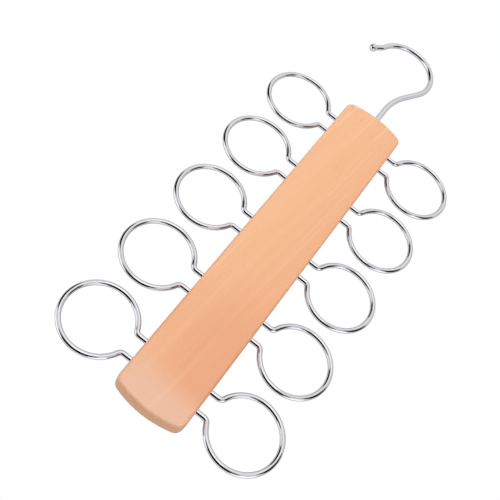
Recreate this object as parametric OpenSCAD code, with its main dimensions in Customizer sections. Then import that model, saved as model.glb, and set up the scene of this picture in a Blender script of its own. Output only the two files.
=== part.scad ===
// Scarf hanger: a flat wooden bar with pairs of wire loops down its edges and a swivel hook on top.
// It hangs upright: X runs across the bar, Z up along it, and the front face looks along -Y.
// The origin is the inside of the hook's crown, where the hook rests on a rod.

/* [Bar] */
// Width of the bar
bar_w = 49; // [44:0.5:70]
// Thickness of the bar
bar_t = 12; // [10:0.5:20]
// Radius of the bowed ends, seen from the front
end_r = 70; // [40:1:120]
// Radius of the corners between an end and a long edge
corner_r = 6; // [2.5:0.25:8]
// Radius that softens every edge of the bar
edge_r = 2; // [1:0.25:2.5]
// Distance from the lower end to the centre of the lowest loops
lower_margin = 28.5; // [22:0.5:50]
// Distance from the centre of the highest loops to the upper end
upper_margin = 29.5; // [27:0.5:50]

/* [Loops] */
// Number of loops on each edge
loop_pairs = 5; // [1:1:8]
// Wire thickness of a loop
loop_wire_d = 3.6; // [2.5:0.1:5]
// Inside diameter of a loop
loop_inner_d = 44.4; // [34:0.2:70]
// Clear space between the rings of two neighbouring loops
loop_gap = 8.4; // [2:0.2:30]
// Distance between the centrelines of a loop's two legs
leg_spacing = 15.2; // [9:0.2:22]
// Straight length of leg that shows outside the wood
leg_out = 5.6; // [1:0.2:20]
// Depth to which a leg is pushed into the wood
leg_depth = 14; // [6:0.5:15]
// Centreline radius of the bend between a leg and its ring
neck_bend_r = 3.6; // [3:0.1:6]

/* [Hook] */
// Wire thickness of the hook
hook_wire_d = 4.4; // [3:0.1:6]
// Inside diameter of the hook's crook
crook_inner_d = 46; // [32:0.5:80]
// Angle through which the crook is bent
crook_angle = 189; // [150:1:210]
// Straight length of the shank above the wood
stem_out = 18; // [8:0.5:40]
// Centreline radius of the bend above the shank
stem_bend_r = 50; // [8:0.5:80]
// Angle of the bend above the shank
stem_bend_angle = 29; // [20:1:45]
// Straight length from that bend to the crook
rise_l = 14.5; // [6:0.5:40]
// Centreline radius of the bend that turns the tip outwards
tip_bend_r = 8; // [4:0.5:20]
// Angle of that bend
tip_bend_angle = 22; // [5:1:40]
// Straight length of the tip, up to the centre of its ball
tip_l = 8; // [3:0.5:20]
// Diameter of the ball on the tip
ball_d = 6.4; // [6.2:0.1:10]

/* [Swivel] */
// Length of the bushing in which the shank turns
bushing_l = 14; // [8:0.5:25]
// Wall thickness of the bushing
bushing_wall = 1.2; // [0.8:0.1:2]
// Length of the upset head that keeps the hook in the bushing
head_l = 2.8; // [2:0.1:5]

/* [Fits] */
// Gap all round between a glued piece and its hole in the wood
glue_clearance = 0.05; // [0.02:0.01:0.2]
// Gap all round between the shank and the bushing
swivel_clearance = 0.05; // [0.02:0.01:0.1]
// End play of the hook's head below the bushing
head_play = 0.2; // [0.1:0.05:0.5]
// Free depth left at the bottom of a blind hole
hole_spare = 0.8; // [0.5:0.1:2]
// Chamfer on the cut ends of the wires and on the bushing
end_chamfer = 0.4; // [0.2:0.05:0.6]

/* [Hidden] */
$fn = 96;
// Makes a cut run past the face that it opens
eps = 1;
// Where two round surfaces run on into each other, one is this much slimmer and ends inside the other
seam_step = 0.01;
seam_lap = 0.1;

loop_r = (loop_inner_d + loop_wire_d) / 2;
loop_pitch = loop_inner_d + 2 * loop_wire_d + loop_gap;
bar_l = lower_margin + (loop_pairs - 1) * loop_pitch + upper_margin;
// Angle at the ring's centre between the loop's middle line and the start of a neck bend
neck_angle = asin((leg_spacing / 2 + neck_bend_r) / (loop_r + neck_bend_r));
// Distance from the bar's edge to the ring's centre
loop_reach = leg_out + (loop_r + neck_bend_r) * cos(neck_angle);

crook_r = (crook_inner_d + hook_wire_d) / 2;
bushing_bore_d = hook_wire_d + 2 * swivel_clearance;
bushing_d = bushing_bore_d + 2 * bushing_wall;
head_d = (bushing_bore_d + bushing_d) / 2;
shank_in = bushing_l + head_play + head_l;

// Every bent wire is a list of moves from its first end: [length] runs straight,
// and [radius, angle] bends, to the left where the angle is positive.
LOOP_MOVES = [
    [leg_depth + leg_out],
    [neck_bend_r, 90 - neck_angle],
    [loop_r, 2 * neck_angle - 360],
    [neck_bend_r, 90 - neck_angle],
    [leg_out + leg_depth]
];
HOOK_MOVES = [
    [shank_in + stem_out],
    [stem_bend_r, -stem_bend_angle],
    [rise_l],
    [crook_r, crook_angle],
    [tip_bend_r, -tip_bend_angle],
    [tip_l]
];
CROOK_MOVE = 3;

// A pose is [x, y, heading]. A wire starts at [0, 0, 90], which is upwards.
function bend_centre(p, m) = let (r = sign(m[1]) * m[0]) [p[0] - r * sin(p[2]), p[1] + r * cos(p[2])];
function after_bend(p, m) =
    let (c = bend_centre(p, m), r = sign(m[1]) * m[0], h = p[2] + m[1])
    [c[0] + r * sin(h), c[1] - r * cos(h), h];
function after_run(p, m) = [p[0] + m[0] * cos(p[2]), p[1] + m[0] * sin(p[2]), p[2]];
function after_move(p, m) = len(m) == 1 ? after_run(p, m) : after_bend(p, m);
// Pose of the wire before move number n
function pose(moves, n) = n == 0 ? [0, 0, 90] : after_move(pose(moves, n - 1), moves[n - 1]);

crook_centre = bend_centre(pose(HOOK_MOVES, CROOK_MOVE), HOOK_MOVES[CROOK_MOVE]);
// Place of the shank and of the bar's upper end, counted from the inside of the crook's crown
axis_x = -crook_centre[0];
top_z = shank_in - crook_centre[1] - crook_inner_d / 2;
bottom_z = top_z - bar_l;

WOOD = [0.94, 0.74, 0.58];
CHROME = [0.80, 0.81, 0.83];
STEEL = [0.62, 0.62, 0.60];

// Stands a shape that is drawn flat, with its front towards +Z, upright with its front towards -Y.
module upright() {
    rotate([90, 0, 0]) children();
}

// Rod along +Y with chamfered ends; a chamfer of 0 leaves an end square.
module rod(d, l, start_chamfer = 0, end_chamfer = 0) {
    rotate([-90, 0, 0]) {
        translate([0, 0, start_chamfer]) cylinder(h = l - start_chamfer - end_chamfer, d = d);
        if (start_chamfer > 0) cylinder(h = start_chamfer, d1 = d - 2 * start_chamfer, d2 = d);
        if (end_chamfer > 0)
            translate([0, 0, l - end_chamfer]) cylinder(h = end_chamfer, d1 = d, d2 = d - 2 * end_chamfer);
    }
}

// Round bend that starts at the origin along +Y and runs on by a lap at both ends.
module bend(d, r, angle, lap) {
    lap_angle = lap / r * 180 / PI;
    translate([-sign(angle) * r, 0, 0])
        rotate([0, 0, (angle > 0 ? 0 : 180 + angle) - lap_angle])
            rotate_extrude(angle = abs(angle) + 2 * lap_angle) translate([r, 0]) circle(d = d);
}

// Wire bent in its own plane, with chamfers on the straight runs that end it.
// Every second move is a hair slimmer and laps into the moves beside it.
module bent_wire(d, moves, start_chamfer = 0, end_chamfer = 0) {
    last = len(moves) - 1;
    for (n = [0 : last]) {
        p = pose(moves, n);
        m = moves[n];
        slim = n % 2;
        lap = slim * seam_lap;
        wire_d = d - 2 * slim * seam_step;
        translate([p[0], p[1], 0]) rotate([0, 0, p[2] - 90])
            if (len(m) == 1)
                translate([0, -lap, 0])
                    rod(wire_d, m[0] + 2 * lap, n == 0 ? start_chamfer : 0, n == last ? end_chamfer : 0);
            else
                bend(wire_d, m[0], m[1], lap);
    }
}

// Half of the bar's section from its middle out to an edge at x = w, softened at that edge.
module edge_section(w) {
    translate([0, edge_r - bar_t / 2]) square([w, bar_t - 2 * edge_r]);
    translate([0, -bar_t / 2]) square([w - edge_r, bar_t]);
    for (side = [-1, 1])
        translate([w - edge_r, side * (bar_t / 2 - edge_r)]) circle(r = edge_r, $fn = 48);
}

// What is cut off the upper end of a straight bar, drawn from the centre of the end's bow.
// The box starts where the bow is still wider than the bar, and both corners go along a chord.
module end_waste(corner_x, corner_y) {
    chord_end = [corner_x, corner_y] * end_r / (end_r - corner_r);
    difference() {
        translate([-bar_w, end_r / 2, -bar_t]) cube([2 * bar_w, end_r, 2 * bar_t]);
        rotate_extrude() edge_section(end_r);
    }
    for (side = [0, 1]) mirror([side, 0, 0]) translate([0, 0, -bar_t]) linear_extrude(2 * bar_t)
        polygon([[bar_w / 2, corner_y], chord_end, chord_end + [0, end_r], [bar_w, end_r], [bar_w, corner_y]]);
}

// Solid bar, drawn flat with its lower end on the X axis.
module bar_blank() {
    // Centres of the corners, counted from the centre of an end's bow
    corner_x = bar_w / 2 - corner_r;
    corner_y = sqrt(pow(end_r - corner_r, 2) - pow(corner_x, 2));
    translate([0, bar_l / 2, 0]) {
        difference() {
            rotate([90, 0, 0]) translate([0, 0, -bar_l / 2 - eps]) linear_extrude(bar_l + 2 * eps)
                for (side = [0, 1]) mirror([side, 0]) edge_section(bar_w / 2);
            for (turn = [0, 180]) rotate([0, 0, turn])
                translate([0, bar_l / 2 - end_r, 0]) end_waste(corner_x, corner_y);
        }
        for (turn = [0, 180], side = [-1, 1]) rotate([0, 0, turn])
            translate([side * corner_x, bar_l / 2 - end_r + corner_y, 0])
                rotate_extrude() edge_section(corner_r - seam_step);
    }
}

// Height of loop number i above the bar's lower end
function loop_y(i) = lower_margin + (i - 1) * loop_pitch;

// Bar with a pair of blind holes for each loop and one for the bushing.
module wooden_bar() {
    color(WOOD) translate([axis_x, 0, bottom_z]) upright() difference() {
        bar_blank();
        for (side = [-1, 1], i = [1 : loop_pairs], leg = [-1, 1])
            translate([side * (bar_w / 2 - leg_depth - hole_spare), loop_y(i) + leg * leg_spacing / 2, 0])
                rotate([0, 0, -90 * side])
                    rod(loop_wire_d + 2 * glue_clearance, leg_depth + hole_spare + eps);
        translate([0, bar_l - shank_in - hole_spare, 0])
            rod(bushing_d + 2 * glue_clearance, shank_in + hole_spare + eps);
    }
}

// One loop: two legs in the wood, two neck bends and the ring between them.
module wire_loop(side, i) {
    color(CHROME) translate([axis_x, 0, bottom_z]) upright()
        translate([side * (bar_w / 2 - leg_depth), loop_y(i), 0]) rotate([0, 0, -90 * side])
            translate([-leg_spacing / 2, 0, 0])
                bent_wire(loop_wire_d, LOOP_MOVES, end_chamfer, end_chamfer);
}

// Sleeve that is set into the upper end of the bar, flush with it.
module hook_bushing() {
    color(STEEL) translate([axis_x, 0, top_z - bushing_l]) rotate_extrude() difference() {
        translate([bushing_bore_d / 2, 0]) square([bushing_wall, bushing_l]);
        translate([bushing_d / 2, 0]) rotate([0, 0, 45]) square(end_chamfer * sqrt(2), center = true);
    }
}

// Hook: head, shank, crook and ball in one piece.
module hook() {
    tip = pose(HOOK_MOVES, len(HOOK_MOVES));
    color(CHROME) translate([axis_x, 0, top_z - shank_in]) upright() {
        rod(head_d, head_l, end_chamfer, end_chamfer);
        bent_wire(hook_wire_d, HOOK_MOVES);
        translate([tip[0], tip[1], 0]) sphere(d = ball_d);
    }
}

wooden_bar();
hook_bushing();
hook();
for (side = [-1, 1], i = [1 : loop_pairs]) {
    name = str("loop_", side < 0 ? "left" : "right", "_", i);
    wire_loop(side, i);
}
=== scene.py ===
import math
from collections import namedtuple

import bpy
from bpy.props import BoolProperty, FloatProperty, FloatVectorProperty, IntProperty, PointerProperty
from mathutils import Euler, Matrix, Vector


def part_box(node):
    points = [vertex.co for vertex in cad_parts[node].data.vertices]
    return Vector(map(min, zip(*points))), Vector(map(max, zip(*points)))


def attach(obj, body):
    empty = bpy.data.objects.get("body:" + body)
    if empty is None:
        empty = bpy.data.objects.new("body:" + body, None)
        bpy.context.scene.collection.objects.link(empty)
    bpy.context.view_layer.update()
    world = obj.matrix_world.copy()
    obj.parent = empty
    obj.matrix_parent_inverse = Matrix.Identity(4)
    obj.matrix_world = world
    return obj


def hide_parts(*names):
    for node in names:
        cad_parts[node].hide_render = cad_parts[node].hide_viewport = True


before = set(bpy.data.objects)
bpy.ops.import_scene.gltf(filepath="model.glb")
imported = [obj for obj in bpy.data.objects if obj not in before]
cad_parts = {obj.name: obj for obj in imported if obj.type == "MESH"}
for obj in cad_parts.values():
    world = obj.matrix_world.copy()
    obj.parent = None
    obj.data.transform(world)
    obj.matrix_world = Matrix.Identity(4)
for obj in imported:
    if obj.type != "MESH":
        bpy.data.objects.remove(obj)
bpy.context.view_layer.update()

bl_info = {
    "name": "Scarf Hanger",
    "version": (1, 0, 0),
    "blender": (4, 5, 0),
    "location": "View3D > Sidebar > Hanger",
    "description": "Wooden scarf hanger with bent wire loops and a swivel hook, and a studio to show it in",
    "category": "Object",
}

MM = 0.001
BAR_LOW, BAR_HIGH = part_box("wooden_bar")
LOOP_LOW, LOOP_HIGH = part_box("loop_right_1")
NEXT_LOOP_LOW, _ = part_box("loop_right_2")
HOOK_LOW, HOOK_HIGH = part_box("hook")
BAR_MIDDLE = (BAR_LOW + BAR_HIGH) / 2
LOOP_NODES = sorted(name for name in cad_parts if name.startswith("loop_"))

# How far a piece may lie from the box of the CAD node that it stands for
PLACE_SLACK = 0.05 * MM

# Spacing of the rings of faces along a wire, on its straight runs and round its bends
STRAIGHT_STEP = 2 * MM
LOOP_BEND_STEP = math.radians(4)
HOOK_BEND_STEP = math.radians(3)

# The ball on the hook: its rings of faces, where its root starts, in radii from its middle, and the radius
# that is left for the cap at its pole
BALL_RINGS = 40
BALL_ROOT = 1.1
POLE_RADIUS = 0.02 * MM

# Length of the step from the hook's head down to its wire
HEAD_STEP = 0.01 * MM

# Each loop's marks are a metre further along the same noise, and the hook's lie between the first two
HOOK_MARKS_SHIFT = 0.5

# Depth of the marks on each finish, and its least and greatest roughness
CHROME_RELIEF = 0.01 * MM
STEEL_RELIEF = 0.03 * MM
GRAIN_RELIEF = 0.05 * MM
CHROME_ROUGHNESS = (0.02, 0.09)
STEEL_ROUGHNESS = (0.24, 0.42)
WOOD_ROUGHNESS = (0.42, 0.55)

# The board from the bar's middle: the middle of its trunk, how far its fibres sway, and where its tones, its
# painted shade and its painted sheen lie
PITH = (-22 * MM, 62 * MM, 0.0)
GRAIN_SWAY = 1.2 * MM
# Half width of the ramp across the bar that carries the painted shade on its right side
TONE_AND_SHADE_HALF_WIDTH = 24 * MM
DEEP_ZONE_MIDDLE = -94 * MM
DEEP_ZONE_CORE = 5 * MM
DEEP_ZONE_EDGE = 75 * MM
# Painted sheen: from here down to the lower end the wood is paled towards a pinker colour, which stands in
# for the lacquer's sheen there
PAINTED_SHEEN_START = -116 * MM
PAINTED_SHEEN_FULL = -138 * MM

# Lamps of the studio: azimuth and elevation in degrees, distance and width in metres
KEY_PLACE = (-8, 2)
BACK_PLACE = (176, 20)
LAMP_DISTANCE = 1.5
LAMP_SIZE = 1.6

# Cards of the studio: a squareness of 2 makes a card an ellipse, and more brings it nearer to a rectangle
CARD_SQUARENESS = 2.5
CORNERS = ((-1, -1), (1, -1), (1, 1), (-1, 1))

# A card's place and half sizes are in degrees as the object sees them, its softness is the share that fades
# out, its brightness is 1 at white, and its distance is in metres
Card = namedtuple("Card", "azimuth elevation half_width half_height softness brightness distance")
CARDS = {
    "grey_surround": Card(175, 28, 62, 48, 0.3, 0.66, 2.4),
    "softbox": Card(-2, 9, 10, 37, 0.1, 1.8, 2.2),
    "softbox_top": Card(0, 42, 24, 15, 0.3, 1.35, 2.1),
    "dark_left": Card(-66, 17, 35, 21, 0.2, 0.0, 1.5),
    "dark_right": Card(65, 2, 34, 20, 0.2, 0.0, 0.65),
    "reflector_left": Card(-88, -30, 24, 28, 0.2, 1.85, 1.9),
    "reflector_right": Card(87, -44, 23, 25, 0.2, 2.05, 1.9),
    "dark_front": Card(-7, -54, 41, 37, 0.1, 0.0, 2.0),
}


# Sizes and colours

class LoopSizes(bpy.types.PropertyGroup):
    wire_diameter: FloatProperty(
        name="Wire diameter", description="Thickness of a loop's wire",
        default=LOOP_HIGH.y - LOOP_LOW.y, subtype="DISTANCE", unit="LENGTH")
    outer_diameter: FloatProperty(
        name="Outer diameter", description="Diameter over the outside of a ring",
        default=LOOP_HIGH.z - LOOP_LOW.z, subtype="DISTANCE", unit="LENGTH")
    leg_spacing: FloatProperty(
        name="Leg spacing", description="Distance between the middles of a loop's two legs",
        default=15.2 * MM, subtype="DISTANCE", unit="LENGTH")
    neck_radius: FloatProperty(
        name="Neck bend radius", description="Radius of the bend between a leg and the ring",
        default=3.6 * MM, subtype="DISTANCE", unit="LENGTH")
    leg_depth: FloatProperty(
        name="Leg depth", description="Depth to which a leg goes into the wood",
        default=BAR_HIGH.x - LOOP_LOW.x, subtype="DISTANCE", unit="LENGTH")
    reach: FloatProperty(
        name="Reach", description="Distance from the bar's edge to the far side of a ring",
        default=LOOP_HIGH.x - BAR_HIGH.x, subtype="DISTANCE", unit="LENGTH")
    pairs: IntProperty(
        name="Pairs", description="Number of loops on each long edge of the bar",
        default=len(LOOP_NODES) // 2, min=1)
    pitch: FloatProperty(
        name="Pitch", description="Distance between one loop and the next",
        default=NEXT_LOOP_LOW.z - LOOP_LOW.z, subtype="DISTANCE", unit="LENGTH")
    end_chamfer: FloatProperty(
        name="End chamfer", description="Chamfer on the cut ends of the wire",
        default=0.4 * MM, subtype="DISTANCE", unit="LENGTH")
    sides: IntProperty(
        name="Sides", description="Number of faces round the wire", default=28, min=8)


class HookSizes(bpy.types.PropertyGroup):
    wire_diameter: FloatProperty(
        name="Wire diameter", description="Thickness of the hook's wire",
        default=4.4 * MM, subtype="DISTANCE", unit="LENGTH")
    ball_diameter: FloatProperty(
        name="Ball diameter", description="Diameter of the ball on the tip",
        default=HOOK_HIGH.y - HOOK_LOW.y, subtype="DISTANCE", unit="LENGTH")
    ball_blend: FloatProperty(
        name="Ball blend", description="Width over which the ball runs into the wire",
        default=0.5 * MM, subtype="DISTANCE", unit="LENGTH")
    head_diameter: FloatProperty(
        name="Head diameter", description="Diameter of the upset head inside the bar",
        default=5.7 * MM, subtype="DISTANCE", unit="LENGTH")
    head_length: FloatProperty(
        name="Head length", description="Length of the upset head inside the bar",
        default=2.8 * MM, subtype="DISTANCE", unit="LENGTH")
    shank_depth: FloatProperty(
        name="Shank depth", description="Depth to which the shank and its head go into the bar",
        default=BAR_HIGH.z - HOOK_LOW.z, subtype="DISTANCE", unit="LENGTH")
    stem: FloatProperty(
        name="Stem", description="Straight length of the shank above the wood",
        default=18 * MM, subtype="DISTANCE", unit="LENGTH")
    stem_bend_radius: FloatProperty(
        name="Stem bend radius", description="Radius of the bend above the stem",
        default=50 * MM, subtype="DISTANCE", unit="LENGTH")
    stem_bend: FloatProperty(
        name="Stem bend", description="Angle of the bend above the stem",
        default=math.radians(29), subtype="ANGLE", unit="ROTATION")
    rise: FloatProperty(
        name="Rise", description="Straight length between the stem bend and the crook",
        default=14.5 * MM, subtype="DISTANCE", unit="LENGTH")
    crook_radius: FloatProperty(
        name="Crook radius", description="Radius of the crook along the middle of the wire",
        default=25.2 * MM, subtype="DISTANCE", unit="LENGTH")
    crook_bend: FloatProperty(
        name="Crook bend", description="Angle through which the crook is bent",
        default=math.radians(189), subtype="ANGLE", unit="ROTATION")
    tip_bend_radius: FloatProperty(
        name="Tip bend radius", description="Radius of the bend that turns the tip outwards",
        default=8 * MM, subtype="DISTANCE", unit="LENGTH")
    tip_bend: FloatProperty(
        name="Tip bend", description="Angle of the bend that turns the tip outwards",
        default=math.radians(22), subtype="ANGLE", unit="ROTATION")
    tip: FloatProperty(
        name="Tip", description="Straight length of the tip, up to the middle of its ball",
        default=8 * MM, subtype="DISTANCE", unit="LENGTH")
    end_chamfer: FloatProperty(
        name="End chamfer", description="Chamfer on the head inside the bar",
        default=0.4 * MM, subtype="DISTANCE", unit="LENGTH")
    sides: IntProperty(
        name="Sides", description="Number of faces round the wire", default=40, min=8)


class WoodFinish(bpy.types.PropertyGroup):
    base: FloatVectorProperty(
        name="Wood", description="Colour of the lacquered wood",
        default=(0.87, 0.47, 0.25), subtype="COLOR", size=3, min=0, max=1)
    late: FloatVectorProperty(
        name="Late growth", description="Colour of the denser growth layers",
        default=(0.80, 0.39, 0.185), subtype="COLOR", size=3, min=0, max=1)
    pale: FloatVectorProperty(
        name="Pale streaks", description="Colour of the pale streaks along the bar",
        default=(0.92, 0.56, 0.35), subtype="COLOR", size=3, min=0, max=1)
    fleck: FloatVectorProperty(
        name="Flecks", description="Colour of the small dark flecks",
        default=(0.66, 0.33, 0.175), subtype="COLOR", size=3, min=0, max=1)
    # Deep tone: colour of a darker zone near the lower end, and of the painted shade that darkens the bar
    # towards its right edge
    deep_tone_and_shade: FloatVectorProperty(
        name="Deep tone", description="Colour of the broad darker zone near the lower end",
        default=(0.76, 0.32, 0.15), subtype="COLOR", size=3, min=0, max=1)
    # Painted sheen: a paler, pinker colour mixed into the lower end of the bar, standing in for the
    # lacquer's sheen there
    painted_sheen: FloatVectorProperty(
        name="Bleached end", description="Colour of the paler wood at the lower end",
        default=(0.755, 0.457, 0.315), subtype="COLOR", size=3, min=0, max=1)
    end_grain: FloatVectorProperty(
        name="End grain", description="Colour of the wood where its fibres are cut across",
        default=(0.82, 0.38, 0.155), subtype="COLOR", size=3, min=0, max=1)
    grain_turn: FloatProperty(
        name="Grain turn", description="Angle between the grain and the bar",
        default=math.radians(-5.5), subtype="ANGLE", unit="ROTATION")
    layer_width: FloatProperty(
        name="Layer width", description="Width of one growth layer of the wood",
        default=2.6 * MM, subtype="DISTANCE", unit="LENGTH")
    lacquer: FloatProperty(
        name="Lacquer", description="How much of the satin lacquer lies on the wood",
        default=0.35, min=0, max=1, subtype="FACTOR")
    lacquer_roughness: FloatProperty(
        name="Lacquer roughness", description="Roughness of the lacquer's own gloss",
        default=0.28, min=0, max=1, subtype="FACTOR")


class MetalFinish(bpy.types.PropertyGroup):
    chrome: FloatVectorProperty(
        name="Chrome", description="Colour of the bright plating on the wires",
        default=(0.56, 0.555, 0.585), subtype="COLOR", size=3, min=0, max=1)
    dull_chrome: FloatVectorProperty(
        name="Dulled chrome", description="Colour of the plating where it was handled or bent",
        default=(0.49, 0.485, 0.51), subtype="COLOR", size=3, min=0, max=1)
    loop_edge: FloatVectorProperty(
        name="Loop edge tint", description="Tint of the loops' chrome where it is seen at a flat angle",
        default=(0.6, 0.6, 0.62), subtype="COLOR", size=3, min=0, max=1)
    hook_edge: FloatVectorProperty(
        name="Hook edge tint", description="Tint of the hook's chrome where it is seen at a flat angle",
        default=(1.0, 1.0, 1.0), subtype="COLOR", size=3, min=0, max=1)
    steel: FloatVectorProperty(
        name="Steel", description="Colour of the bushing",
        default=(0.50, 0.49, 0.47), subtype="COLOR", size=3, min=0, max=1)
    worn_steel: FloatVectorProperty(
        name="Worn steel", description="Colour of the bushing in its turned grooves",
        default=(0.33, 0.325, 0.31), subtype="COLOR", size=3, min=0, max=1)


class StudioSettings(bpy.types.PropertyGroup):
    eye: FloatVectorProperty(
        name="Camera place", description="Place of the camera, from the inside of the hook's crown",
        default=(18.99 * MM, -462.45 * MM, -560.70 * MM), subtype="XYZ", size=3)
    turn: FloatVectorProperty(
        name="Camera turn", description="Rotation of the camera",
        default=(math.radians(130.638), math.radians(-32.035), math.radians(-21.755)),
        subtype="EULER", size=3)
    lens: FloatProperty(
        name="Lens", description="Focal length of the camera in millimetres", default=60.18)
    floor_height: FloatProperty(
        name="Floor height", description="Height of the floor under the hanging object",
        default=-2.8, subtype="DISTANCE", unit="LENGTH")
    floor_width: FloatProperty(
        name="Floor width", description="Width of the square of paper on the floor",
        default=24.0, subtype="DISTANCE", unit="LENGTH")
    floor_lift: FloatProperty(
        name="Floor lift", description="Glow that brings the floor to white where it is seen",
        default=0.5, min=0)
    floor_colour: FloatVectorProperty(
        name="Floor", description="Colour of the paper on the floor",
        default=(0.86, 0.86, 0.86), subtype="COLOR", size=3, min=0, max=1)
    fill: FloatProperty(
        name="Fill", description="Light that reaches the object from all round",
        default=0.6, min=0)
    key_brightness: FloatProperty(
        name="Key brightness", description="Brightness of the lamp before the object, where 1 is white",
        default=1.85, min=0)
    back_brightness: FloatProperty(
        name="Back brightness", description="Brightness of the lamp behind the object, where 1 is white",
        default=1.2, min=0)
    use_cards: BoolProperty(
        name="Cards", description="Hangs the bright and dark cards that show in the chrome",
        default=True)


# Bent wire

def wire_stations(moves, step_angle):
    """Places along the middle of a bent wire that starts upwards, as (x, z, distance, bend), where bend is 1
    on a radius of 1 mm. A move is [length] or [radius, angle], and a positive angle turns left."""
    x, z, heading, distance = 0.0, 0.0, math.pi / 2, 0.0
    stations = [(x, z, distance, 0.0)]
    for move in moves:
        if len(move) == 1:
            parts = max(1, round(move[0] / STRAIGHT_STEP))
            for _ in range(parts):
                x += move[0] / parts * math.cos(heading)
                z += move[0] / parts * math.sin(heading)
                distance += move[0] / parts
                stations.append((x, z, distance, 0.0))
            continue
        radius, angle = move
        parts = max(2, math.ceil(abs(angle) / step_angle))
        side = math.copysign(radius, angle)
        centre_x = x - side * math.sin(heading)
        centre_z = z + side * math.cos(heading)
        for _ in range(parts):
            heading += angle / parts
            distance += radius * abs(angle) / parts
            x = centre_x + side * math.sin(heading)
            z = centre_z - side * math.cos(heading)
            stations.append((x, z, distance, MM / radius))
    return stations


def wire_path(name, stations, radius_at):
    """Open line of points with the wire's radius, distance and bend on each of them."""
    mesh = bpy.data.meshes.new(name)
    mesh.from_pydata([(x, 0, z) for x, z, _, _ in stations],
                     [(n, n + 1) for n in range(len(stations) - 1)], [])
    columns = {
        "wire_radius": [radius_at(distance) for _, _, distance, _ in stations],
        "along": [distance for _, _, distance, _ in stations],
        "bend": [bend for _, _, _, bend in stations],
    }
    for attribute_name, values in columns.items():
        mesh.attributes.new(attribute_name, "FLOAT", "POINT").data.foreach_set("value", values)
    piece = bpy.data.objects.new(name, mesh)
    bpy.context.scene.collection.objects.link(piece)
    return piece


class TreeMaker:
    """Short calls that add nodes and links to one node tree."""

    def __init__(self, name, kind):
        self.tree = bpy.data.node_groups.new(name, kind)
        self.sockets = {}

    def socket(self, name, in_out, kind, default=None):
        """Adds an input or output of the tree, and keeps an input's identifier."""
        made = self.tree.interface.new_socket(name=name, in_out=in_out, socket_type=kind)
        if default is not None:
            made.default_value = default
        if in_out == "INPUT":
            self.sockets[name] = made.identifier

    def node(self, kind, inputs=None, **settings):
        """Adds a node to the tree, as add_node does."""
        return add_node(self.tree, kind, inputs, **settings)


def add_node(tree, kind, inputs=None, **settings):
    """A new node with its settings, and with each input set to a value or linked to an output."""
    made = tree.nodes.new(kind)
    for name, value in settings.items():
        setattr(made, name, value)
    for name, value in (inputs or {}).items():
        if isinstance(value, bpy.types.NodeSocket):
            tree.links.new(value, made.inputs[name])
        else:
            made.inputs[name].default_value = value
    return made


def swept_wire(maker, path, sides):
    """Adds the nodes that sweep a round section along the path, as thick as wire_radius says."""
    curve = maker.node("GeometryNodeMeshToCurve", {"Mesh": path})
    radius = maker.node("GeometryNodeInputNamedAttribute", {"Name": "wire_radius"}, data_type="FLOAT")
    section = maker.node("GeometryNodeCurvePrimitiveCircle", {"Resolution": sides, "Radius": 1.0})
    round_place = maker.node("GeometryNodeInputPosition")
    marked = maker.node("GeometryNodeStoreNamedAttribute", {
        "Geometry": section.outputs["Curve"], "Name": "section", "Value": round_place.outputs["Position"]},
        data_type="FLOAT_VECTOR", domain="POINT")
    swept = maker.node("GeometryNodeCurveToMesh", {
        "Curve": curve.outputs["Curve"], "Profile Curve": marked.outputs["Geometry"],
        "Scale": radius.outputs["Attribute"], "Fill Caps": True})
    return swept.outputs["Mesh"]


def straightened(maker, geometry, shift):
    """Stores wire_place: the place on the wire as if it were straight, which the plating's marks follow.
    The shift moves it along, so that the wires of a row don't share their marks."""
    section = maker.node("GeometryNodeInputNamedAttribute", {"Name": "section"}, data_type="FLOAT_VECTOR")
    radius = maker.node("GeometryNodeInputNamedAttribute", {"Name": "wire_radius"}, data_type="FLOAT")
    along = maker.node("GeometryNodeInputNamedAttribute", {"Name": "along"}, data_type="FLOAT")
    across = maker.node("ShaderNodeVectorMath", {
        0: section.outputs["Attribute"], "Scale": radius.outputs["Attribute"]}, operation="SCALE")
    shifted = maker.node("ShaderNodeMath", {0: along.outputs["Attribute"], 1: shift}, operation="ADD")
    lengthwise = maker.node("ShaderNodeCombineXYZ", {"Z": shifted.outputs["Value"]})
    place = maker.node("ShaderNodeVectorMath", {
        0: across.outputs["Vector"], 1: lengthwise.outputs["Vector"]}, operation="ADD")
    stored = maker.node("GeometryNodeStoreNamedAttribute", {
        "Geometry": geometry, "Name": "wire_place", "Value": place.outputs["Vector"]},
        data_type="FLOAT_VECTOR", domain="POINT")
    return stored.outputs["Geometry"]


def finished_wire(maker, geometry, material):
    """Ends a tree with smooth faces and the wire's material."""
    solid = maker.node("GeometryNodeRealizeInstances", {"Geometry": geometry})
    smooth = maker.node("GeometryNodeSetShadeSmooth", {"Geometry": solid.outputs["Geometry"]})
    painted = maker.node("GeometryNodeSetMaterial", {
        "Geometry": smooth.outputs["Geometry"], "Material": material})
    maker.node("NodeGroupOutput", {"Geometry": painted.outputs["Geometry"]})


def hook_tree():
    """Sweeps one bent wire along its path."""
    maker = TreeMaker("bent_hook", "GeometryNodeTree")
    maker.socket("Geometry", "OUTPUT", "NodeSocketGeometry")
    maker.socket("Path", "INPUT", "NodeSocketGeometry")
    maker.socket("Sides", "INPUT", "NodeSocketInt", 24)
    maker.socket("Plating", "INPUT", "NodeSocketMaterial")
    start = maker.node("NodeGroupInput")
    wire = swept_wire(maker, start.outputs["Path"], start.outputs["Sides"])
    finished_wire(maker, straightened(maker, wire, HOOK_MARKS_SHIFT), start.outputs["Plating"])
    return maker


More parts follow.
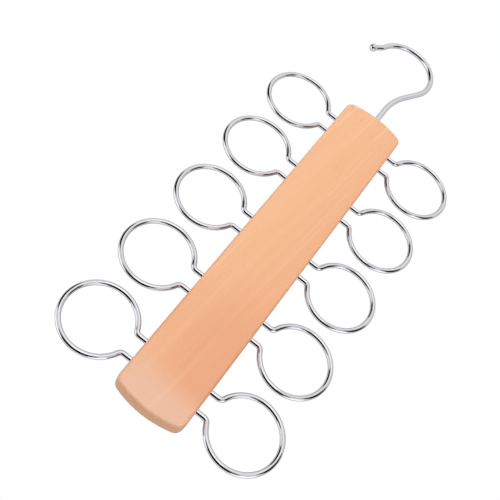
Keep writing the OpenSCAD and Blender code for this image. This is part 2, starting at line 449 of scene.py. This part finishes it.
def loops_tree():
    """Sweeps one loop, sets a row of them in the bar's right edge, and turns a copy of it to the left."""
    maker = TreeMaker("rows_of_loops", "GeometryNodeTree")
    maker.socket("Geometry", "OUTPUT", "NodeSocketGeometry")
    maker.socket("Path", "INPUT", "NodeSocketGeometry")
    maker.socket("Sides", "INPUT", "NodeSocketInt", 24)
    maker.socket("Pairs", "INPUT", "NodeSocketInt", 5)
    maker.socket("Pitch", "INPUT", "NodeSocketFloat", 0.06)
    maker.socket("Lowest Place", "INPUT", "NodeSocketVector")
    maker.socket("Bar Middle", "INPUT", "NodeSocketVector")
    maker.socket("Plating", "INPUT", "NodeSocketMaterial")
    start = maker.node("NodeGroupInput")
    wire = swept_wire(maker, start.outputs["Path"], start.outputs["Sides"])
    step = maker.node("ShaderNodeCombineXYZ", {"Z": start.outputs["Pitch"]})
    seats = maker.node("GeometryNodeMeshLine", {
        "Count": start.outputs["Pairs"], "Start Location": start.outputs["Lowest Place"],
        "Offset": step.outputs["Vector"]}, mode="OFFSET")
    number = maker.node("GeometryNodeInputIndex")
    row = maker.node("GeometryNodeInstanceOnPoints", {
        "Points": seats.outputs["Mesh"], "Instance": wire})
    numbered = maker.node("GeometryNodeStoreNamedAttribute", {
        "Geometry": row.outputs["Instances"], "Name": "loop_number", "Value": number.outputs["Index"]},
        data_type="FLOAT", domain="INSTANCE")
    across = maker.node("ShaderNodeVectorMath", {
        0: start.outputs["Bar Middle"], "Scale": 2.0}, operation="SCALE")
    turned = maker.node("GeometryNodeTransform", {
        "Geometry": numbered.outputs["Geometry"], "Translation": across.outputs["Vector"],
        "Rotation": (0.0, 0.0, math.pi)})
    both = maker.node("GeometryNodeJoinGeometry")
    maker.tree.links.new(turned.outputs["Geometry"], both.inputs["Geometry"])
    maker.tree.links.new(numbered.outputs["Geometry"], both.inputs["Geometry"])
    solid = maker.node("GeometryNodeRealizeInstances", {"Geometry": both.outputs["Geometry"]})
    order = maker.node("GeometryNodeInputNamedAttribute", {"Name": "loop_number"}, data_type="FLOAT")
    placed = straightened(maker, solid.outputs["Geometry"], order.outputs["Attribute"])
    finished_wire(maker, placed, start.outputs["Plating"])
    return maker


def plain_mesh(piece, maker, values):
    """Runs the tree on the piece with the given inputs and keeps the result as its plain mesh."""
    modifier = piece.modifiers.new(maker.tree.name, "NODES")
    modifier.node_group = maker.tree
    for name, value in values.items():
        modifier[maker.sockets[name]] = value
    graph = bpy.context.evaluated_depsgraph_get()
    made = bpy.data.meshes.new_from_object(
        piece.evaluated_get(graph), preserve_all_data_layers=True, depsgraph=graph)
    piece.modifiers.remove(modifier)
    old = piece.data
    piece.data = made
    bpy.data.meshes.remove(old)
    made.name = piece.name


def check_place(piece, nodes):
    """Raises an error where the piece doesn't fill the same box as the CAD nodes it stands for."""
    boxes = [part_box(node) for node in nodes]
    low = [min(box[0][axis] for box in boxes) for axis in range(3)]
    high = [max(box[1][axis] for box in boxes) for axis in range(3)]
    for axis in range(3):
        places = [vertex.co[axis] for vertex in piece.data.vertices]
        if max(abs(min(places) - low[axis]), abs(max(places) - high[axis])) > PLACE_SLACK:
            raise RuntimeError(f"{piece.name} doesn't fill the box of {nodes[0]}")


# Shapes of the wires

def loop_moves(sizes):
    """Moves of one loop: a leg, a neck, the ring, the other neck and the other leg."""
    ring_radius = (sizes.outer_diameter - sizes.wire_diameter) / 2
    neck_angle = math.asin((sizes.leg_spacing / 2 + sizes.neck_radius) / (ring_radius + sizes.neck_radius))
    ring_reach = sizes.reach - sizes.outer_diameter / 2
    leg = sizes.leg_depth + ring_reach - (ring_radius + sizes.neck_radius) * math.cos(neck_angle)
    neck = [sizes.neck_radius, math.pi / 2 - neck_angle]
    return [[leg], neck, [ring_radius, 2 * neck_angle - 2 * math.pi], neck, [leg]]


def loop_stations(sizes):
    """Places along one loop, with one more at the inner edge of each end's chamfer."""
    stations = wire_stations(loop_moves(sizes), LOOP_BEND_STEP)
    length = stations[-1][2]
    chamfer = sizes.end_chamfer
    edges = [(0.0, chamfer, chamfer, 0.0), (sizes.leg_spacing, chamfer, length - chamfer, 0.0)]
    return sorted(stations + edges, key=lambda station: station[2])


def hook_moves(sizes):
    """Moves of the hook, from the end inside the bar to the middle of the ball."""
    return [
        [sizes.shank_depth + sizes.stem],
        [sizes.stem_bend_radius, -sizes.stem_bend],
        [sizes.rise],
        [sizes.crook_radius, sizes.crook_bend],
        [sizes.tip_bend_radius, -sizes.tip_bend],
        [sizes.tip],
    ]


def hook_radius(sizes, length, distance):
    """Radius at a distance along the hook: of its head, of the plain wire, or of the ball and its root."""
    half_wire, half_ball = sizes.wire_diameter / 2, sizes.ball_diameter / 2
    ball = math.sqrt(max(0.0, half_ball ** 2 - (distance - length) ** 2))
    if distance >= length:
        return max(ball, POLE_RADIUS)
    if distance <= sizes.head_length:
        from_edge = min(distance, sizes.head_length - distance)
        return sizes.head_diameter / 2 - max(0, sizes.end_chamfer - from_edge)
    blend = max(0.0, 1 - abs(ball - half_wire) / sizes.ball_blend)
    return max(ball, half_wire) + blend ** 2 * sizes.ball_blend / 4


def ball_stations(stations, half_ball):
    """Places from the ball's root to its far pole, closer together towards both."""
    last_x, last_z, length, _ = stations[-1]
    before_x, before_z, before, _ = stations[-2]
    ahead = Vector((last_x - before_x, last_z - before_z)) / (length - before)
    span = BALL_ROOT * half_ball + half_ball
    made = []
    for n in range(BALL_RINGS + 1):
        along = half_ball - span * (1 + math.cos(math.pi * n / BALL_RINGS)) / 2
        place = Vector((last_x, last_z)) + along * ahead
        made.append((place.x, place.y, length + along, 0.0))
    return made


def hook_stations(sizes):
    """Places along the hook, close together at its head's edges and through its ball, and the distance at
    which the ball has its middle."""
    stations = wire_stations(hook_moves(sizes), HOOK_BEND_STEP)
    length = stations[-1][2]
    half_ball = sizes.ball_diameter / 2
    edges = [(0.0, place, place, 0.0) for place in (
        sizes.end_chamfer, sizes.head_length - sizes.end_chamfer, sizes.head_length,
        sizes.head_length + HEAD_STEP)]
    ball = ball_stations(stations, half_ball)
    plain = [station for station in stations if station[2] < length - BALL_ROOT * half_ball]
    return sorted(plain + edges + ball, key=lambda station: station[2]), length


# Materials

def new_material(name):
    """A material with an empty tree, its Principled shader and its surface linked."""
    material = bpy.data.materials.new(name)
    material.use_nodes = True
    tree = material.node_tree
    tree.nodes.clear()
    shader = add_node(tree, "ShaderNodeBsdfPrincipled")
    surface = add_node(tree, "ShaderNodeOutputMaterial")
    tree.links.new(shader.outputs["BSDF"], surface.inputs["Surface"])
    return material, tree, shader


def shared_group(name, build):
    """The shader group of that name, built the first time it is asked for."""
    found = bpy.data.node_groups.get(name)
    if found is None:
        maker = TreeMaker(name, "ShaderNodeTree")
        build(maker)
        found = maker.tree
    return found


def stretched_noise(tree, place, stretch, detail=2.0, roughness=0.5):
    """Noise whose features are 1 / stretch metres long on each axis."""
    scaled = add_node(tree, "ShaderNodeVectorMath", {0: place, 1: stretch}, operation="MULTIPLY")
    noise = add_node(tree, "ShaderNodeTexNoise", {
        "Vector": scaled.outputs["Vector"], "Scale": 1.0, "Detail": detail, "Roughness": roughness})
    return noise.outputs["Fac"]


def ranged(tree, value, from_low, from_high, to_low=0.0, to_high=1.0):
    """The value, moved from one range to another and held inside it."""
    made = add_node(tree, "ShaderNodeMapRange", {
        "Value": value, "From Min": from_low, "From Max": from_high,
        "To Min": to_low, "To Max": to_high}, interpolation_type="SMOOTHSTEP")
    return made.outputs["Result"]


def computed(tree, operation, first, second):
    """A Math node of two values or outputs."""
    made = add_node(tree, "ShaderNodeMath", {0: first, 1: second}, operation=operation)
    return made.outputs["Value"]


def mixed(tree, factor, first, second):
    """A colour mix of two colours or outputs."""
    made = add_node(tree, "ShaderNodeMix", data_type="RGBA")
    sockets = {"Factor_Float": factor, "A_Color": first, "B_Color": second}
    for identifier, value in sockets.items():
        target = next(s for s in made.inputs if s.identifier == identifier)
        if isinstance(value, bpy.types.NodeSocket):
            tree.links.new(value, target)
        else:
            target.default_value = value
    return next(s for s in made.outputs if s.identifier == "Result_Color")


def solid_colour(colour):
    """The colour with full opacity, as a socket takes it."""
    return (*colour, 1.0)


def build_fine_marks(maker):
    """Hairlines along a piece and broad handling marks, for plated and turned metal."""
    tree = maker.tree
    maker.socket("Place", "INPUT", "NodeSocketVector")
    maker.socket("Hairlines", "INPUT", "NodeSocketFloat", 1.0)
    maker.socket("Smudges", "INPUT", "NodeSocketFloat", 1.0)
    maker.socket("Mask", "OUTPUT", "NodeSocketFloat")
    maker.socket("Height", "OUTPUT", "NodeSocketFloat")
    start = add_node(tree, "NodeGroupInput")
    end = add_node(tree, "NodeGroupOutput")
    lines = stretched_noise(tree, start.outputs["Place"], (4200.0, 4200.0, 160.0), detail=3.0)
    fine = computed(tree, "MULTIPLY", ranged(tree, lines, 0.52, 0.75), start.outputs["Hairlines"])
    cloud = stretched_noise(tree, start.outputs["Place"], (260.0, 260.0, 90.0), detail=3.0)
    broad = computed(tree, "MULTIPLY", ranged(tree, cloud, 0.5, 0.78), start.outputs["Smudges"])
    tree.links.new(computed(tree, "MAXIMUM", fine, broad), end.inputs["Mask"])
    tree.links.new(fine, end.inputs["Height"])


def chrome_material(name, finish, edge_tint):
    """Bright plating on drawn wire, a little duller where it was handled and at the tight bends."""
    material, tree, shader = new_material(name)
    place = add_node(tree, "ShaderNodeAttribute", attribute_name="wire_place")
    bend = add_node(tree, "ShaderNodeAttribute", attribute_name="bend")
    marks = add_node(tree, "ShaderNodeGroup", node_tree=shared_group("fine_marks", build_fine_marks))
    tree.links.new(place.outputs["Vector"], marks.inputs["Place"])
    marks.inputs["Hairlines"].default_value = 0.5
    marks.inputs["Smudges"].default_value = 0.7
    tight = ranged(tree, bend.outputs["Fac"], 0.1, 0.3, 0.0, 0.5)
    dull = computed(tree, "MAXIMUM", marks.outputs["Mask"], tight)
    tree.links.new(mixed(tree, dull, solid_colour(finish.chrome), solid_colour(finish.dull_chrome)),
                   shader.inputs["Base Color"])
    tree.links.new(ranged(tree, dull, 0.0, 1.0, *CHROME_ROUGHNESS), shader.inputs["Roughness"])
    bump = add_node(tree, "ShaderNodeBump", {
        "Strength": 0.1, "Distance": CHROME_RELIEF, "Height": marks.outputs["Height"]})
    tree.links.new(bump.outputs["Normal"], shader.inputs["Normal"])
    shader.inputs["Metallic"].default_value = 1.0
    shader.inputs["Specular Tint"].default_value = solid_colour(edge_tint)
    return material


def steel_material(finish):
    """Turned steel of the bushing, with grooves round its axis."""
    material, tree, shader = new_material("turned_steel")
    place = add_node(tree, "ShaderNodeTexCoord")
    centred = add_node(tree, "ShaderNodeVectorMath", {
        0: place.outputs["Object"], 1: tuple(BAR_MIDDLE)}, operation="SUBTRACT")
    parts = add_node(tree, "ShaderNodeSeparateXYZ", {"Vector": centred.outputs["Vector"]})
    flat = add_node(tree, "ShaderNodeCombineXYZ", {"X": parts.outputs["X"], "Y": parts.outputs["Y"]})
    radius = add_node(tree, "ShaderNodeVectorMath", {0: flat.outputs["Vector"]}, operation="LENGTH")
    turning = add_node(tree, "ShaderNodeCombineXYZ", {
        "X": radius.outputs["Value"], "Y": parts.outputs["Z"]})
    marks = add_node(tree, "ShaderNodeGroup", node_tree=shared_group("fine_marks", build_fine_marks))
    tree.links.new(turning.outputs["Vector"], marks.inputs["Place"])
    tree.links.new(mixed(tree, marks.outputs["Mask"], solid_colour(finish.steel),
                         solid_colour(finish.worn_steel)), shader.inputs["Base Color"])
    tree.links.new(ranged(tree, marks.outputs["Mask"], 0.0, 1.0, *STEEL_ROUGHNESS),
                   shader.inputs["Roughness"])
    bump = add_node(tree, "ShaderNodeBump", {
        "Strength": 0.5, "Distance": STEEL_RELIEF, "Height": marks.outputs["Height"]})
    tree.links.new(bump.outputs["Normal"], shader.inputs["Normal"])
    shader.inputs["Metallic"].default_value = 1.0
    return material


def board_place(tree, coordinates, finish):
    """Place in the board from the bar's middle, turned along the grain and swayed as its fibres are."""
    centred = add_node(tree, "ShaderNodeMapping", {
        "Vector": coordinates.outputs["Object"], "Location": tuple(-BAR_MIDDLE)})
    turned = add_node(tree, "ShaderNodeMapping", {
        "Vector": centred.outputs["Vector"], "Rotation": (0.0, finish.grain_turn, 0.0)})
    drift = stretched_noise(tree, turned.outputs["Vector"], (30.0, 30.0, 9.0), detail=1.0)
    sway = ranged(tree, drift, 0.3, 0.7, -GRAIN_SWAY, GRAIN_SWAY)
    sideways = add_node(tree, "ShaderNodeCombineXYZ", {"X": sway})
    swayed = add_node(tree, "ShaderNodeVectorMath", {
        0: turned.outputs["Vector"], 1: sideways.outputs["Vector"]}, operation="ADD")
    return swayed.outputs["Vector"]


def growth_layers(tree, board, layer_width):
    """Noise in layers round the middle of the trunk, which lay beside the board."""
    from_pith = add_node(tree, "ShaderNodeVectorMath", {0: board, 1: PITH}, operation="SUBTRACT")
    parts = add_node(tree, "ShaderNodeSeparateXYZ", {"Vector": from_pith.outputs["Vector"]})
    flat = add_node(tree, "ShaderNodeCombineXYZ", {"X": parts.outputs["X"], "Y": parts.outputs["Y"]})
    radius = add_node(tree, "ShaderNodeVectorMath", {0: flat.outputs["Vector"]}, operation="LENGTH")
    place = add_node(tree, "ShaderNodeCombineXYZ", {
        "X": radius.outputs["Value"], "Z": parts.outputs["Z"]})
    return stretched_noise(tree, place.outputs["Vector"], (1 / layer_width, 0.0, 2.5))


def toned_board(tree, board, colour, finish):
    """Adds the board's broad tones: darker in one zone near the lower end, with painted shade that darkens
    the colour towards the right edge, a painted sheen that pales the lower end, and pale streaks that fade
    towards the right edge."""
    places = add_node(tree, "ShaderNodeSeparateXYZ", {"Vector": board})
    to_right = ranged(tree, places.outputs["X"], -TONE_AND_SHADE_HALF_WIDTH, TONE_AND_SHADE_HALF_WIDTH)
    from_zone = computed(
        tree, "ABSOLUTE", computed(tree, "SUBTRACT", places.outputs["Z"], DEEP_ZONE_MIDDLE), 0.0)
    zone = computed(tree, "MULTIPLY", ranged(tree, from_zone, DEEP_ZONE_EDGE, DEEP_ZONE_CORE),
                    ranged(tree, to_right, 0.0, 1.0, 0.4, 0.6))
    # Painted shade: the colour darkens towards the right edge, where less light falls, on top of the darker
    # zone
    deep_tone_and_shade = computed(tree, "ADD", zone, computed(tree, "MULTIPLY", to_right, 0.5))
    colour = mixed(tree, deep_tone_and_shade, colour, solid_colour(finish.deep_tone_and_shade))
    # Painted sheen: pales the lower end of the bar, as the lacquer's sheen would
    painted_sheen = ranged(tree, places.outputs["Z"], PAINTED_SHEEN_START, PAINTED_SHEEN_FULL, 0.0, 0.8)
    colour = mixed(tree, painted_sheen, colour, solid_colour(finish.painted_sheen))
    streaks = stretched_noise(tree, board, (280.0, 280.0, 4.0), detail=1.0)
    shown = computed(tree, "MULTIPLY", ranged(tree, streaks, 0.55, 0.72, 0.0, 0.7),
                     ranged(tree, to_right, 0.0, 1.0, 1.0, 0.4))
    return mixed(tree, shown, colour, solid_colour(finish.pale))


def cut_across(tree, coordinates, board):
    """Mask of the faces that cut the fibres across, broken up by the pores."""
    facing = add_node(tree, "ShaderNodeSeparateXYZ", {"Vector": coordinates.outputs["Normal"]})
    upright = computed(tree, "ABSOLUTE", facing.outputs["Z"], 0.0)
    pores = stretched_noise(tree, board, (1500.0, 1500.0, 60.0))
    return computed(tree, "MULTIPLY", ranged(tree, upright, 0.45, 0.95),
                    ranged(tree, pores, 0.35, 0.7, 0.75, 1.0))


def wood_material(finish):
    """Fine straight-grained wood under a thin satin lacquer."""
    material, tree, shader = new_material("lacquered_wood")
    coordinates = add_node(tree, "ShaderNodeTexCoord")
    board = board_place(tree, coordinates, finish)
    layers = growth_layers(tree, board, finish.layer_width)
    patches = stretched_noise(tree, board, (34.0, 34.0, 11.0))
    fibres = stretched_noise(tree, board, (1700.0, 1700.0, 26.0), detail=3.0, roughness=0.6)
    flecks = stretched_noise(tree, board, (900.0, 260.0, 150.0), detail=1.0)

    late = solid_colour(finish.late)
    colour = mixed(tree, ranged(tree, layers, 0.35, 0.7, 0.0, 0.45), solid_colour(finish.base), late)
    # Adds the board's tones, with painted shade towards the right edge and a painted sheen at the lower end
    colour = toned_board(tree, board, colour, finish)
    colour = mixed(tree, ranged(tree, patches, 0.35, 0.75, 0.0, 0.25), colour, late)
    colour = mixed(tree, ranged(tree, fibres, 0.4, 0.8, 0.0, 0.4), colour, late)
    colour = mixed(tree, ranged(tree, flecks, 0.66, 0.76, 0.0, 0.35), colour, solid_colour(finish.fleck))
    colour = mixed(tree, cut_across(tree, coordinates, board), colour, solid_colour(finish.end_grain))
    tree.links.new(colour, shader.inputs["Base Color"])

    tree.links.new(ranged(tree, fibres, 0.3, 0.8, *WOOD_ROUGHNESS), shader.inputs["Roughness"])
    relief = computed(tree, "ADD", fibres, computed(tree, "MULTIPLY", layers, 0.5))
    bump = add_node(tree, "ShaderNodeBump", {"Strength": 0.1, "Distance": GRAIN_RELIEF, "Height": relief})
    tree.links.new(bump.outputs["Normal"], shader.inputs["Normal"])
    shader.inputs["Coat Weight"].default_value = finish.lacquer
    shader.inputs["Coat Roughness"].default_value = finish.lacquer_roughness
    return material


# Studio

def seen_directly(tree):
    """1 for the rays of the camera and of mirrors and glass, else 0."""
    path = add_node(tree, "ShaderNodeLightPath")
    mirrored = computed(tree, "ADD", path.outputs["Is Camera Ray"], path.outputs["Is Glossy Ray"])
    summed = add_node(tree, "ShaderNodeMath", {
        0: mirrored, 1: path.outputs["Is Transmission Ray"]}, operation="ADD", use_clamp=True)
    return summed.outputs["Value"]


def white_world(fill):
    """White where it is seen, and a softer light on the object."""
    world = bpy.data.worlds.new("white_room")
    world.use_nodes = True
    tree = world.node_tree
    tree.nodes.clear()
    strength = add_node(tree, "ShaderNodeMapRange", {
        "Value": seen_directly(tree), "To Min": fill, "To Max": 1.0})
    background = add_node(tree, "ShaderNodeBackground", {
        "Color": (1, 1, 1, 1), "Strength": strength.outputs["Result"]})
    surface = add_node(tree, "ShaderNodeOutputWorld")
    tree.links.new(background.outputs["Background"], surface.inputs["Surface"])
    bpy.context.scene.world = world


def sheet_of(name, corners, material):
    """A flat sheet of the studio, which isn't part of the object."""
    mesh = bpy.data.meshes.new(name)
    mesh.from_pydata(corners, [], [tuple(range(len(corners)))])
    mesh.materials.append(material)
    made = bpy.data.objects.new(name, mesh)
    bpy.context.scene.collection.objects.link(made)
    return made


def direction(azimuth, elevation):
    """Unit vector that points away from the object. Azimuth 0 is in front of it and 90 is on its right."""
    turn, rise = math.radians(azimuth), math.radians(elevation)
    return Vector((math.sin(turn) * math.cos(rise), -math.cos(turn) * math.cos(rise), math.sin(rise)))


def place_camera(studio):
    """Sets up the camera where the photo was taken from."""
    camera = bpy.data.objects.new("camera", bpy.data.cameras.new("camera"))
    bpy.context.scene.collection.objects.link(camera)
    camera.location = studio.eye
    camera.rotation_euler = Euler(studio.turn, "XYZ")
    camera.data.lens = studio.lens
    camera.data.sensor_width = 36.0
    camera.data.clip_start = 0.01
    bpy.context.scene.camera = camera


def card_material(name, brightness, softness):
    """Even light, or darkness, that fades out towards the rounded edge of its card."""
    material = bpy.data.materials.new(name)
    material.use_nodes = True
    tree = material.node_tree
    tree.nodes.clear()
    place = add_node(tree, "ShaderNodeAttribute", attribute_name="card_place")
    parts = add_node(tree, "ShaderNodeSeparateXYZ", {"Vector": place.outputs["Vector"]})
    curves = [computed(tree, "POWER", computed(tree, "ABSOLUTE", parts.outputs[axis], 0.0), CARD_SQUARENESS)
              for axis in "XY"]
    from_middle = computed(tree, "POWER", computed(tree, "ADD", *curves), 1 / CARD_SQUARENESS)
    cover = ranged(tree, from_middle, 1.0, 1.0 - softness)
    light = add_node(tree, "ShaderNodeEmission", {"Color": (1, 1, 1, 1), "Strength": brightness})
    clear = add_node(tree, "ShaderNodeBsdfTransparent")
    blend = add_node(tree, "ShaderNodeMixShader", {
        0: cover, 1: clear.outputs["BSDF"], 2: light.outputs["Emission"]})
    surface = add_node(tree, "ShaderNodeOutputMaterial")
    tree.links.new(blend.outputs["Shader"], surface.inputs["Surface"])
    return material


def hanging_card(name, centre, card):
    """Card that faces the object and shows only in its gloss. It lights, shades and hides nothing."""
    away = direction(card.azimuth, card.elevation)
    across = direction(card.azimuth + 90, 0)
    up = away.cross(across)
    if up.z < 0:
        up = -up
    half_x = card.distance * math.tan(math.radians(card.half_width)) * across
    half_y = card.distance * math.tan(math.radians(card.half_height)) * up
    middle = centre + card.distance * away
    made = sheet_of(name, [middle + x * half_x + y * half_y for x, y in CORNERS],
                    card_material(name, card.brightness, card.softness))
    place = made.data.attributes.new("card_place", "FLOAT_VECTOR", "POINT")
    place.data.foreach_set("vector", [value for x, y in CORNERS for value in (x, y, 0.0)])
    made.visible_camera = False
    made.visible_diffuse = False
    made.visible_transmission = False
    made.visible_volume_scatter = False
    made.visible_shadow = False


def soft_lamp(name, centre, away, brightness):
    """Large square lamp that faces the object and leaves its reflection to the cards."""
    lamp = bpy.data.lights.new(name, "AREA")
    lamp.shape = "SQUARE"
    lamp.size = LAMP_SIZE
    lamp.energy = brightness * math.pi * LAMP_SIZE ** 2
    made = bpy.data.objects.new(name, lamp)
    bpy.context.scene.collection.objects.link(made)
    made.location = centre + LAMP_DISTANCE * away
    made.rotation_euler = away.to_track_quat("Z", "Y").to_euler()
    made.visible_glossy = False


def floor_material(colour, lift):
    """Pale paper that is lifted to white where it is seen and keeps its shadows."""
    material, tree, shader = new_material("floor_paper")
    coordinates = add_node(tree, "ShaderNodeTexCoord")
    mottle = stretched_noise(tree, coordinates.outputs["Object"], (9.0, 9.0, 9.0), detail=3.0)
    mottled = solid_colour([part * 0.97 for part in colour])
    shade = mixed(tree, ranged(tree, mottle, 0.3, 0.7, 0.0, 0.3), solid_colour(colour), mottled)
    tree.links.new(shade, shader.inputs["Base Color"])
    shader.inputs["Roughness"].default_value = 0.9
    shader.inputs["Specular IOR Level"].default_value = 0.1
    shader.inputs["Emission Color"].default_value = (1, 1, 1, 1)
    glow = computed(tree, "MULTIPLY", seen_directly(tree), lift)
    tree.links.new(glow, shader.inputs["Emission Strength"])
    return material


def lay_floor(studio):
    """Lays a square of pale paper under the hanging object."""
    half = studio.floor_width / 2
    sheet_of("floor", [(x * half, y * half, studio.floor_height) for x, y in CORNERS],
             floor_material(studio.floor_colour, studio.floor_lift))


# Operators

class HANGER_OT_wooden_bar(bpy.types.Operator):
    """Gives the bar its lacquered wood"""

    bl_idname = "hanger.wooden_bar"
    bl_label = "Finish the Bar"

    def execute(self, context):
        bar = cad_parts["wooden_bar"]
        bar.data.materials.clear()
        bar.data.materials.append(wood_material(context.scene.hanger_wood))
        return {"FINISHED"}


class HANGER_OT_hook_bushing(bpy.types.Operator):
    """Gives the bushing its turned steel"""

    bl_idname = "hanger.hook_bushing"
    bl_label = "Finish the Bushing"

    def execute(self, context):
        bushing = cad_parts["hook_bushing"]
        bushing.data.materials.clear()
        bushing.data.materials.append(steel_material(context.scene.hanger_metal))
        return {"FINISHED"}


class HANGER_OT_wire_loops(bpy.types.Operator):
    """Bends one wire loop and sets a row of them in each long edge of the bar"""

    bl_idname = "hanger.wire_loops"
    bl_label = "Make the Wire Loops"

    def execute(self, context):
        sizes, metal = context.scene.hanger_loops, context.scene.hanger_metal
        stations = loop_stations(sizes)
        length = stations[-1][2]

        def radius_at(distance):
            return sizes.wire_diameter / 2 - max(0, sizes.end_chamfer - min(distance, length - distance))

        leg_end = BAR_HIGH.x - sizes.leg_depth
        laid = [(leg_end + z, sizes.leg_spacing / 2 - x, distance, bend)
                for x, z, distance, bend in stations]
        piece = wire_path("wire_loops", laid, radius_at)
        plain_mesh(piece, loops_tree(), {
            "Sides": sizes.sides,
            "Pairs": sizes.pairs,
            "Pitch": sizes.pitch,
            "Lowest Place": (0.0, 0.0, (LOOP_LOW.z + LOOP_HIGH.z) / 2),
            "Bar Middle": (BAR_MIDDLE.x, 0.0, 0.0),
            "Plating": chrome_material("chrome_loop_wire", metal, metal.loop_edge),
        })
        check_place(piece, LOOP_NODES)
        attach(piece, "hanger")
        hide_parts(*LOOP_NODES)
        return {"FINISHED"}


class HANGER_OT_hook(bpy.types.Operator):
    """Bends the hook, with the ball on its tip and the head on its shank"""

    bl_idname = "hanger.hook"
    bl_label = "Make the Hook"

    def execute(self, context):
        sizes, metal = context.scene.hanger_hook, context.scene.hanger_metal
        stations, length = hook_stations(sizes)

        def radius_at(distance):
            return hook_radius(sizes, length, distance)

        head_end = BAR_HIGH.z - sizes.shank_depth
        laid = [(BAR_MIDDLE.x + x, head_end + z, distance, bend) for x, z, distance, bend in stations]
        piece = wire_path("swivel_hook", laid, radius_at)
        plain_mesh(piece, hook_tree(), {
            "Sides": sizes.sides,
            "Plating": chrome_material("chrome_hook_wire", metal, metal.hook_edge),
        })
        check_place(piece, ["hook"])
        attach(piece, "hook")
        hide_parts("hook")
        return {"FINISHED"}


class HANGER_OT_studio(bpy.types.Operator):
    """Sets up the room, the camera, the floor, the lamps and the cards that the chrome mirrors"""

    bl_idname = "hanger.studio"
    bl_label = "Set Up the Studio"

    def execute(self, context):
        studio = context.scene.hanger_studio
        context.scene.view_settings.view_transform = "Standard"
        white_world(studio.fill)
        place_camera(studio)
        lay_floor(studio)
        centre = Vector((BAR_MIDDLE.x, 0.0, BAR_MIDDLE.z))
        soft_lamp("key_softbox", centre, direction(*KEY_PLACE), studio.key_brightness)
        soft_lamp("back_softbox", centre, direction(*BACK_PLACE), studio.back_brightness)
        if studio.use_cards:
            for name, card in CARDS.items():
                hanging_card(name, centre, card)
        return {"FINISHED"}


class HANGER_PT_panel(bpy.types.Panel):
    """Lists the steps that make the hanger"""

    bl_idname = "HANGER_PT_panel"
    bl_label = "Scarf Hanger"
    bl_space_type = "VIEW_3D"
    bl_region_type = "UI"
    bl_category = "Hanger"

    def draw(self, context):
        for step in OPERATORS:
            self.layout.operator(step.bl_idname)
        for group in SETTINGS:
            box = self.layout.box()
            values = getattr(context.scene, group)
            for name in values.bl_rna.properties.keys():
                if name not in ("rna_type", "name"):
                    box.prop(values, name)


SETTINGS = {
    "hanger_loops": LoopSizes,
    "hanger_hook": HookSizes,
    "hanger_wood": WoodFinish,
    "hanger_metal": MetalFinish,
    "hanger_studio": StudioSettings,
}

OPERATORS = (
    HANGER_OT_wooden_bar,
    HANGER_OT_hook_bushing,
    HANGER_OT_wire_loops,
    HANGER_OT_hook,
    HANGER_OT_studio,
)


def register():
    for made in (*SETTINGS.values(), *OPERATORS, HANGER_PT_panel):
        bpy.utils.register_class(made)
    for name, group in SETTINGS.items():
        setattr(bpy.types.Scene, name, PointerProperty(type=group))


def unregister():
    for name in SETTINGS:
        delattr(bpy.types.Scene, name)
    for made in reversed((*SETTINGS.values(), *OPERATORS, HANGER_PT_panel)):
        bpy.utils.unregister_class(made)


def main():
    register()
    bpy.ops.hanger.wooden_bar()
    bpy.ops.hanger.hook_bushing()
    bpy.ops.hanger.wire_loops()
    bpy.ops.hanger.hook()
    bpy.ops.hanger.studio()


if __name__ == "__main__":
    main()
